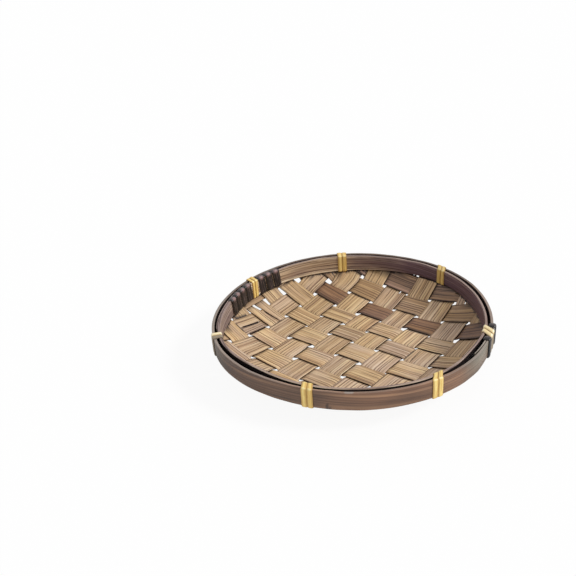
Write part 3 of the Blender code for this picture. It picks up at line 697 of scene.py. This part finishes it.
# Stretches of the rim where a hoop is smoked, faded or rubbed, and where painted shade darkens the inner hoop and the
# front left: from, to, and how far it takes to fade out.
INNER_SHADED, INNER_FADED = (-40.0, 60.0, 40.0), (170.0, 205.0, 14.0)
BACK_TOP_SMOKED = (30.0, 168.0, 14.0)
FRONT_LEFT_SHADED, FRONT_RIGHT_SMOKED = (204.0, 256.0, 16.0), (290.0, 318.0, 12.0)
LEFT_FADED, LAP_FADED = (165.0, 200.0, 14.0), (-38.0, -20.0, 10.0)
LEFT_RUBBED, RIGHT_RUBBED = (172.0, 232.0, 16.0), (-36.0, 10.0, 16.0)
# Damage in front, in degrees and shares of its height: a pale chip in the outer hoop's top and a split below, painted
# dark as the shade inside it.
CHIP_PLACE, CHIP_REACH, CHIP_FROM = 267.5, 1.5, 0.86
SPLIT_PLACE, SPLIT_REACH, SPLIT_UP_TO = 259.6, 1.0, 0.4


def inner_weather(bearing, height, upward):
    """Painted shade from the back tie round to the right, less on top, faded on the left, and rubbed along the whole
    top edge.
    """
    # The smoky colour here is painted shade.
    smoke_and_shade = 0.92 * between(bearing, *INNER_SHADED) * (1.0 - 0.6 * upward)
    return smoke_and_shade, 0.75 * between(bearing, *INNER_FADED), 0.8


def outer_weather(bearing, height, upward):
    """Darker along its foot, smoked on top of its back and in front on the right, painted shade in front on the left,
    faded on the left and by its lap, and damaged.
    """
    if abs(bearing - CHIP_PLACE) < CHIP_REACH and height > CHIP_FROM:
        return 0.0, 0.0, 2.2 * upward
    # The split is painted dark as shade.
    if abs(bearing - SPLIT_PLACE) < SPLIT_REACH * (1.0 - height / SPLIT_UP_TO):
        return 1.0, 0.0, -1.0
    # Painted shade on the front-left faces; the foot is darker, and the back's top and the front right are smoked.
    smoke_and_shade = max(0.85 * between(bearing, *BACK_TOP_SMOKED) * upward,
                0.9 * max(0.0, 0.40 - height),
                0.22 * between(bearing, *FRONT_RIGHT_SMOKED) * (1.0 - upward),
                0.62 * between(bearing, *FRONT_LEFT_SHADED) * (1.0 - upward))
    faded = max(0.8 * between(bearing, *LEFT_FADED), between(bearing, *LAP_FADED) * (0.45 + 0.55 * height))
    worn = 0.25 + 0.50 * max(between(bearing, *LEFT_RUBBED), between(bearing, *RIGHT_RUBBED))
    return smoke_and_shade, faded, worn


def hoop_material(name, bands, line_width, light, dark, smoky_and_shaded, faded, edge, line, line_share):
    """Bent bamboo: brown along the grain, smoked, faded or painted with shade in places, painted shade in the gap, with
    a rubbed top edge.
    """
    material, tree, shader, fibres = grained(name, bands, run=5.0, line_width=line_width)
    weather_and_shade = laid_on(tree, "weather_and_shade")
    bands_shown = ramped(tree, fibres["Bands"], 0.25, 0.75)
    banded = mix_colour(tree, bands_shown, dark, light)
    drifted = mix_colour(tree, maths(tree, "MULTIPLY", fibres["Drift"], 0.42), banded, smoky_and_shaded)
    old = mix_colour(tree, weather_and_shade["Y"], drifted, faded)
    smoked_and_shaded = mix_colour(tree, weather_and_shade["X"], old, smoky_and_shaded)
    rubbed = mix_colour(tree, ramped(tree, weather_and_shade["Z"], 0.0, 1.0), smoked_and_shaded, edge)
    streaked = mix_colour(tree, 0.16, rubbed, bands_shown, "OVERLAY")
    fine = mix_colour(tree, 0.45, streaked, fibres["Fibres"], "OVERLAY")
    lined = mix_colour(tree, maths(tree, "MULTIPLY", fibres["Lines"], line_share), fine, line)
    # Painted shade, near black, on the faces in the gap between the hoops and in the split.
    shade_painted = mix_colour(tree, ramped(tree, weather_and_shade["Z"], 0.0, -1.0), lined, paint(30, 20, 20))
    surface(tree, shader, shade_painted, fibres, smooth=0.38, rough=0.58, depth=0.0002)
    return material


OUTER_FINISH = hoop_material(
    "hoop_bamboo_brown", bands=420.0, line_width=0.16, light=paint(176, 134, 102), dark=paint(138, 100, 76),
    smoky_and_shaded=paint(56, 42, 36), faded=paint(124, 118, 104), edge=paint(160, 146, 136), line=paint(70, 46, 36),
    line_share=0.15)
INNER_FINISH = hoop_material(
    "hoop_bamboo_dark", bands=560.0, line_width=0.26, light=paint(255, 232, 196), dark=paint(164, 134, 106),
    smoky_and_shaded=paint(92, 68, 86), faded=paint(136, 120, 120), edge=paint(134, 110, 104), line=paint(70, 46, 40),
    line_share=1.0)
outer_rings = hoop_rings(outer_hoop_seat, 1.0, OUTER_HOOP_WALL - SCRAPED_OFF, OUTER_LAP, LAP_SPRING)
outer = new_piece("outer_hoop_bent", bent_strip(41, outer_rings, -1, outer_weather), OUTER_FINISH)
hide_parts("outer_hoop")
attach(outer, "root")
inner_rings = hoop_rings(inner_hoop_seat, -1.0, INNER_HOOP_WALL, INNER_LAP, 0.0)
inner = new_piece("inner_hoop_bent", bent_strip(42, inner_rings, 1, inner_weather), INNER_FINISH)
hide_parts("inner_hoop")
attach(inner, "root")

# The loose tail of the inner hoop
# Past the binding, the outer end of the bamboo strip runs on as a thin tail. It stands in the gap between the two
# hoops, held by nothing but its own spring, until it tapers out.
TAIL_START, TAIL_END = 158.0, 190.0
TAIL_STATIONS = 40
TAIL_WALL, TAIL_TAPER = 0.0014, 0.6
TAIL_STAND_OFF = 0.0003
tail_rings = []
for k in range(TAIL_STATIONS + 1):
    azimuth = radians(TAIL_START + (TAIL_END - TAIL_START) * k / TAIL_STATIONS)
    low = inner_hoop_seat(azimuth) + TAIL_STAND_OFF
    taper = 1.0 - TAIL_TAPER * k / TAIL_STATIONS
    tail_rings.append((azimuth, RIM_RADIUS * azimuth, low, low + TAIL_WALL * taper))
tail = new_piece("inner_hoop_tail", bent_strip(43, tail_rings, 0, inner_weather), INNER_FINISH)
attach(tail, "root")

# The pale ties
# Seven lashings of split rattan, each one strand taken twice round both hoops through the weave and pulled tight.
# Some lean, with their outer run further round the rim than their inner run.
TIE_NAMES = ("left", "front_left", "front_right", "right", "back_right", "back", "back_left")
TIE_TURNS = 2
TIE_STRAND_WIDTH, TIE_PITCH = 0.0047, 0.0048
TIE_STRAND_THICKNESS = 0.00076
TIE_LEAN = 0.006
TIE_LEAN_SHARES = (0.0, 0.3, -0.9, -1.0, 0.8, 0.0, -0.3)
TIE_DEPTH = 0.007
CORNER_INSET = 0.0005
CORNER_STEPS = 5
RUN_STEP = 0.002
CLOSED_SHARE = 0.8


def lap_step(azimuth, lap_place):
    """How far a hoop's face stands out where its ends lie over each other, ramping up beside the lap."""
    past = abs(angle_from(degrees(azimuth), lap_place[0])) - lap_place[1] / 2
    return (LAP_TIP + LAP_CLEARANCE) * max(0.0, min(1.0, 1.0 - past / LAP_RAMP_ANGLE))


def outer_hoop_faces(azimuth):
    low = outer_hoop_seat(azimuth)
    return low, low + OUTER_HOOP_WALL + lap_step(azimuth, OUTER_LAP)


def inner_hoop_faces(azimuth):
    high = inner_hoop_seat(azimuth)
    return high - INNER_HOOP_WALL - lap_step(azimuth, INNER_LAP), high


def rim_faces(azimuth):
    return inner_hoop_faces(azimuth)[0], outer_hoop_faces(azimuth)[1]


def one_turn(shift_side):
    """Section of one turn: share of the way across the rim, distance from there, height, and the way outwards."""
    bend = SEAT_CLEARANCE + CORNER_INSET
    low, high = HOOP_BOTTOM + CORNER_INSET, HOOP_TOP - CORNER_INSET
    corners = [("top", 1, high, 0.0), ("inner", 0, high, 90.0), ("bottom", 0, low, 180.0), ("outer", 1, low, 270.0)]
    while corners[-1][0] != shift_side:
        corners.append(corners.pop(0))
    points = []
    for _, anchor, height, first in corners:
        inset = -CORNER_INSET if anchor else CORNER_INSET
        for k in range(CORNER_STEPS + 1):
            angle = radians(first + 90.0 * k / CORNER_STEPS)
            points.append((anchor, inset + bend * cos(angle), height + bend * sin(angle), cos(angle), sin(angle)))
    return points


def strand_path(turns, pitch, lean, slant, shift_side, depth):
    """The whole run of a strand, stepping sideways once a turn, with its long sides in short steps.

    It leans where its outer run is further round than its inner one, and slants where its top is further round.
    """
    corners = []
    for turn in range(turns):
        aside = (turn - (turns - 1) / 2) * pitch
        for anchor, offset, height, out_radius, out_rise in one_turn(shift_side):
            above = (height - (HOOP_TOP + HOOP_BOTTOM) / 2) / HOOP_HEIGHT
            middle = aside + lean * (anchor - 0.5) + slant * above
            corners.append((anchor, offset, height, out_radius, out_rise, middle, turn))
    if turns == 1:
        corners.append(tuple(a + (b - a) * CLOSED_SHARE for a, b in zip(corners[-1], corners[0])))
    path = [corners[0]]
    for corner in corners[1:]:
        before = path[-1]
        length = hypot((corner[0] - before[0]) * depth, corner[2] - before[2])
        steps = max(1, round(length / RUN_STEP))
        for k in range(1, steps + 1):
            path.append(tuple(a + (b - a) * k / steps for a, b in zip(before, corner)))
    return path


# How far each tie is darkened: all over, on its outer runs, and on its second turn. All over the back-right tie it is
# painted shade; on the left and right ties it is grey from handling.
NO_SOIL_OR_SHADE = (0.0, 0.0, 0.0)
TIE_SOIL_AND_SHADE = {"left": (0.0, 0.85, 0.85), "right": (0.0, 0.85, 0.0), "back_right": (0.25, 0.0, 0.0)}
OUTER_RUN_FROM, OUTER_RUN_BELOW = 0.9, 0.0006


def soil_and_shade_at(soil_and_shade, turn, anchor, height):
    all_over, outer_run, second_turn = soil_and_shade
    on_outer_run = anchor > OUTER_RUN_FROM and height < HOOP_TOP - OUTER_RUN_BELOW
    return max(all_over, outer_run if on_outer_run else 0.0, second_turn if turn > 0.5 else 0.0)


# A strand is flat beneath and crowned on top, with painted shade along its edges. Its shoulders are polished pale, and
# carry a painted highlight, where it bends over the rim. On the bindings, which go round one hoop, they can stand up in
# knobs worn at the middle, with a painted highlight.
STRAND_LANES = 6
STRAND_WANDER, STRAND_WANDERS_PER_METRE = 0.05, 150.0
FLAT_CROWN = 0.35
STRAND_EDGE_SHADE_FROM = 0.4
KNOB_BELOW, KNOB_RAMP = 0.0016, 0.0014
TURN_NUMBER_STEP = 0.31


def wound_strand(number, faces, centre, path, width, thickness, knob, polish_and_highlight, soil_and_shade):
    """One unbroken strand laid on its path between a hoop's faces, or the rim's."""
    bm = bmesh.new()
    grain_layer = bm.verts.layers.float_vector.new("grain")
    wear_and_painted_light_layer = bm.verts.layers.float_vector.new("wear_and_painted_light")
    rings = []
    travelled = 0.0
    before = None

    def seat(azimuth, anchor):
        inner_face, outer_face = faces(azimuth)
        return inner_face + (outer_face - inner_face) * anchor

    for anchor, offset, height, out_radius, out_rise, middle, turn in path:
        wander = noise.noise(Vector((travelled * STRAND_WANDERS_PER_METRE, number, 0.5)))
        wide = width * (1.0 + STRAND_WANDER * wander)
        here = Vector((seat(centre + middle / RIM_RADIUS, anchor) + offset, middle, height))
        if before is not None:
            travelled += (here - before).length
        before = here
        shoulder = max(0.0, out_rise) * min(1.0, 2.0 * abs(out_radius))
        if knob > 0.0:
            shoulder = max(0.0, min(1.0, (height - HOOP_TOP + KNOB_BELOW) / KNOB_RAMP))
            shoulder *= 1.0 - min(1.0, 1.6 * anchor)
        top, bottom = [], []
        for lane in range(STRAND_LANES + 1):
            share = 2.0 * lane / STRAND_LANES - 1.0
            turned = centre + (middle + share * wide / 2) / RIM_RADIUS
            near = seat(turned, anchor) + offset
            level = HOOP_TOP - (HOOP_TOP - height) * (HOOP_TOP - hoop_bottom(turned)) / HOOP_HEIGHT
            middling = max(0.0, 1.0 - 1.8 * share * share)
            crown = thickness * (FLAT_CROWN + (1.0 - FLAT_CROWN) * sqrt(max(0.0, 1.0 - share * share)))
            crown += knob * shoulder * middling
            # Painted shade along the strand's edges; pale polish and a painted highlight on its shoulders and knobs.
            strand_edge_shade = max(0.0, abs(share) - STRAND_EDGE_SHADE_FROM) / (1.0 - STRAND_EDGE_SHADE_FROM)
            pale_polish_and_highlight = polish_and_highlight * shoulder * (middling if knob > 0.0 else 1.0 - strand_edge_shade)
            for raised, into in ((crown, top), (0.0, bottom)):
                radius = near + out_radius * raised
                place = Vector((radius * cos(turned), radius * sin(turned), level + out_rise * raised))
                vert = bm.verts.new(RIM_CENTRE + place)
                vert[grain_layer] = (travelled, share * wide / 2, number + round(turn) * TURN_NUMBER_STEP)
                vert[wear_and_painted_light_layer] = (pale_polish_and_highlight, strand_edge_shade * (1.0 - pale_polish_and_highlight), soil_and_shade_at(soil_and_shade, turn, anchor, height))
                into.append(vert)
        rings.append(top + bottom[::-1])
    return skin_over(bm, rings)


def cane_material(name, bands, light, dark, bent_polish_and_highlight, line, strand_edge_shade, soil_and_shade, strand_edge_shade_share, smooth):
    """Split rattan: fine lines along the strand, painted shade along its edges, and a paler polish with a painted
    highlight where it bends over the rim.
    """
    material, tree, shader, fibres = grained(name, bands, run=30.0, line_width=0.16)
    wear_and_painted_light = laid_on(tree, "wear_and_painted_light")
    banded = mix_colour(tree, ramped(tree, fibres["Bands"], 0.25, 0.70), dark, light)
    fine = mix_colour(tree, 0.30, banded, fibres["Fibres"], "OVERLAY")
    lined = mix_colour(tree, maths(tree, "MULTIPLY", fibres["Lines"], 0.5), fine, line)
    # Polish and painted highlight where the strand bends, then painted shade along its edges.
    worn = mix_colour(tree, wear_and_painted_light["X"], lined, bent_polish_and_highlight)
    strand_edge_shaded = mix_colour(tree, maths(tree, "MULTIPLY", wear_and_painted_light["Y"], strand_edge_shade_share), worn, strand_edge_shade)
    # Grey from handling on the left and right ties; painted shade all over the back-right tie.
    soiled_and_shaded = mix_colour(tree, wear_and_painted_light["Z"], strand_edge_shaded, soil_and_shade)
    surface(tree, shader, soiled_and_shaded, fibres, smooth, smooth + 0.2, depth=0.00015)
    return material


GOLDEN_CANE = cane_material(
    "rattan_golden", bands=800.0, light=paint(250, 222, 140), dark=paint(230, 192, 108), bent_polish_and_highlight=paint(250, 236, 178),
    line=paint(180, 136, 66), strand_edge_shade=paint(172, 126, 58), soil_and_shade=paint(120, 100, 66), strand_edge_shade_share=0.85, smooth=0.40)
CREAM_CANE = cane_material(
    "rattan_cream", bands=800.0, light=paint(255, 244, 206), dark=paint(246, 222, 164), bent_polish_and_highlight=paint(255, 248, 220),
    line=paint(190, 154, 96), strand_edge_shade=paint(150, 112, 66), soil_and_shade=paint(112, 98, 84), strand_edge_shade_share=0.7, smooth=0.40)
# The ties whose strand is wider or narrower than the others': its width and pitch.
ODD_STRANDS = {"right": (0.0058, 0.0064), "back_left": (0.0037, 0.0041)}
for number, (place, bearing, lean_share) in enumerate(zip(TIE_NAMES, TIE_AZIMUTHS, TIE_LEAN_SHARES), 60):
    width, pitch = ODD_STRANDS.get(place, (TIE_STRAND_WIDTH, TIE_PITCH))
    path = strand_path(TIE_TURNS, pitch, TIE_LEAN * lean_share, 0.0, "bottom", TIE_DEPTH)
    strand = wound_strand(number, rim_faces, radians(bearing), path, width, TIE_STRAND_THICKNESS,
                          knob=0.0, polish_and_highlight=1.0, soil_and_shade=TIE_SOIL_AND_SHADE.get(place, NO_SOIL_OR_SHADE))
    tie = new_piece(f"rattan_tie_{place}", strand, CREAM_CANE if place in ("left", "right") else GOLDEN_CANE)
    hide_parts(f"tie_{place}")
    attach(tie, "root")

# The dark bindings
# Strips of black-stained cane wound side by side round a single hoop hold each lap shut, on both sides of a tie.
# The inner ones slant, and are worn to pale knobs with a painted highlight where they bend over the top of the hoop.
BINDING_CLEARANCE = 0.0006
BINDING_DEPTH = 0.003
BINDING_SLANT = 0.0022
HALF_TIE = (TIE_PITCH + TIE_STRAND_WIDTH) / 2
# On each hoop: the cane's width, the width of hoop that it takes, its thickness, its pitch and its knobs' height.
BINDING_CANE = {"inner": (0.0088, 0.0088, 0.0008, 0.0096, 0.0005), "outer": (0.0056, 0.0075, 0.0014, 0.0075, 0.0)}
DARK_CANE = cane_material(
    "cane_black", bands=620.0, light=paint(48, 38, 41), dark=paint(8, 4, 7), bent_polish_and_highlight=paint(146, 116, 114),
    line=paint(150, 126, 120), strand_edge_shade=paint(6, 4, 6), soil_and_shade=paint(30, 20, 22), strand_edge_shade_share=1.0, smooth=0.32)
for number, (hoop, which, side, turns) in enumerate((
        ("inner", "left", 1, 4), ("inner", "right", -1, 3), ("outer", "upper", 1, 1), ("outer", "lower", -1, 1)), 80):
    node = f"{hoop}_lap_binding_{which}"
    width, taken, thickness, pitch, knob = BINDING_CANE[hoop]
    on_inner_hoop = hoop == "inner"
    tie_number = TIE_NAMES.index("back_left" if on_inner_hoop else "right")
    lean = (-1 if on_inner_hoop else 1) * TIE_LEAN * TIE_LEAN_SHARES[tie_number] / 2
    away = HALF_TIE + BINDING_CLEARANCE + (pitch * (turns - 1) + taken) / 2 + max(0.0, side * lean)
    centre = radians(TIE_AZIMUTHS[tie_number]) + side * away / RIM_RADIUS
    path = strand_path(turns, pitch, 0.0, BINDING_SLANT if on_inner_hoop else 0.0,
                       "outer" if on_inner_hoop else "inner", BINDING_DEPTH)
    strand = wound_strand(number, inner_hoop_faces if on_inner_hoop else outer_hoop_faces, centre, path, width,
                          thickness, knob, polish_and_highlight=float(on_inner_hoop), soil_and_shade=NO_SOIL_OR_SHADE)
    binding = new_piece(f"{node}_wound", strand, DARK_CANE)
    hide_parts(node)
    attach(binding, "root")

# The studio
# A white table that glows a little to the camera, under soft light from all round and a broad lamp up on the right.
# The camera looks down on the basket from in front, with the basket low and to the right in the picture.
TABLE_DROP = 0.0002
TABLE_WHITE, TABLE_GLOW = 0.94, 0.92
SKY_STRENGTH = 0.58
LAMP_WAY = Vector((0.90, -0.15, 0.75))
CAMERA_DISTANCE = 0.6486
white = bpy.data.materials.new("white_table")
white.use_nodes = True
tree = white.node_tree
tree.nodes.remove(tree.nodes["Principled BSDF"])
seen = add_node(tree, "ShaderNodeLightPath").outputs
table = add_node(tree, "ShaderNodeBsdfDiffuse", {"Color": (TABLE_WHITE, TABLE_WHITE, TABLE_WHITE, 1.0)})
glow = add_node(tree, "ShaderNodeEmission", {"Color": (1.0, 1.0, 1.0, 1.0), "Strength": 1.0})
share = maths(tree, "MULTIPLY", seen["Is Camera Ray"], TABLE_GLOW)
shown = add_node(tree, "ShaderNodeMixShader", {0: share, 1: table.outputs[0], 2: glow.outputs[0]})
tree.links.new(shown.outputs[0], tree.nodes["Material Output"].inputs["Surface"])
bm = bmesh.new()
bmesh.ops.create_grid(bm, x_segments=8, y_segments=8, size=3.0)
floor = new_piece("floor", bm, white)
floor.location = (0.0, 0.0, -TABLE_DROP)

scene = bpy.context.scene
world = bpy.data.worlds.new("studio")
scene.world = world
world.use_nodes = True
tree = world.node_tree
seen = add_node(tree, "ShaderNodeLightPath").outputs
direct = maths(tree, "MAXIMUM", seen["Is Camera Ray"], seen["Is Glossy Ray"])
clear = maths(tree, "MAXIMUM", direct, seen["Is Transmission Ray"])
background = tree.nodes["Background"]
tree.links.new(ramped(tree, clear, 0.0, 1.0, SKY_STRENGTH, 1.0), background.inputs["Strength"])
background.inputs["Color"].default_value = (1.0, 1.0, 1.0, 1.0)

lamp = bpy.data.lights.new("window", "SUN")
lamp.energy = 2.0
lamp.angle = radians(14.0)
window = bpy.data.objects.new("window", lamp)
window.rotation_euler = LAMP_WAY.to_track_quat("Z", "Y").to_euler()
scene.collection.objects.link(window)

tilt, roll = radians(31.74), radians(-1.63)
back = Vector((0.0, -cos(tilt), sin(tilt)))
level, upright = Vector((1.0, 0.0, 0.0)), Vector((0.0, sin(tilt), cos(tilt)))
rolled_level = level * cos(roll) + upright * sin(roll)
rolled_upright = upright * cos(roll) - level * sin(roll)
lens = bpy.data.cameras.new("camera")
lens.lens = 45.72
lens.sensor_width = 36.0
lens.shift_x = -0.1142
lens.shift_y = 0.0698
camera = bpy.data.objects.new("camera", lens)
camera.matrix_world = Matrix((rolled_level, rolled_upright, back)).transposed().to_4x4()
camera.location = RIM_CENTRE + Vector((0.0, 0.0, HOOP_BOTTOM)) + back * CAMERA_DISTANCE
scene.collection.objects.link(camera)
scene.camera = camera
scene.view_settings.view_transform = "Standard"
